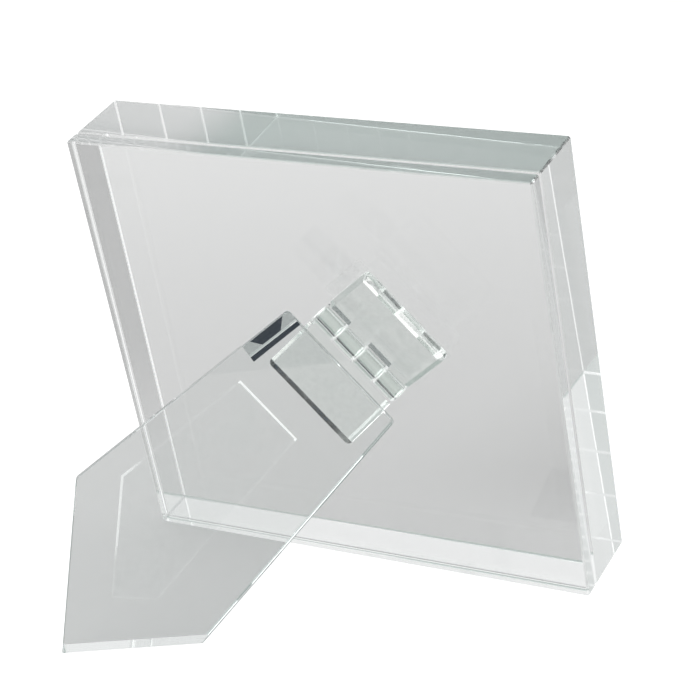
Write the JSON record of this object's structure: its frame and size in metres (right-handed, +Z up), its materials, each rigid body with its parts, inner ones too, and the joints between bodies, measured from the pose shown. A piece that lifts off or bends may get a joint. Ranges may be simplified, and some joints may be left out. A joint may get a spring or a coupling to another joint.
{
  "type": "acrylic block frame",
  "caption": "Thick clear acrylic block frame with a pocket for a print between its plates, standing on a flared easel leg that folds on a clear moulded hinge.",
  "frame": {"origin": "on the table, under the middle of the standing frame's bounding box", "axes": "+Z up, +X along the block's width to the right as seen from the front, +Y to the back, where the leg stands; the block's front looks along -Y and leans back"},
  "size_m": [0.112, 0.095, 0.1052],
  "materials": {
    "clear_acrylic": "clear cast acrylic, faces and edges polished",
    "hinge_plastic": "clear moulded plastic, glossy with soft moulded edges",
    "adhesive_pad": "clear adhesive film",
    "clear_film": "thin clear film",
    "clear_tape": "clear double-sided tape, slightly cloudy"
  },
  "bodies": {
    "frame": {"front_block": "clear_acrylic", "back_plate": "clear_acrylic", "tape_strip_left": "clear_tape", "tape_strip_right": "clear_tape", "tape_strip_bottom": "clear_tape", "plate_pad": "adhesive_pad", "hinge_fixed_leaf": "hinge_plastic", "hinge_pin": "hinge_plastic"},
    "leg": {"hinge_leg_leaf": "hinge_plastic", "leg_pad": "adhesive_pad", "leg_film": "clear_film", "easel_leg": "clear_acrylic"}
  },
  "joints": [
    {"name": "leg_fold", "type": "hinge", "parent": "frame", "child": "leg", "pos_m": [-0.0111, -0.00761, 0.05629], "axis": [0.6428, 0.224, 0.7326], "range_deg": [-47, 85]}
  ]
}
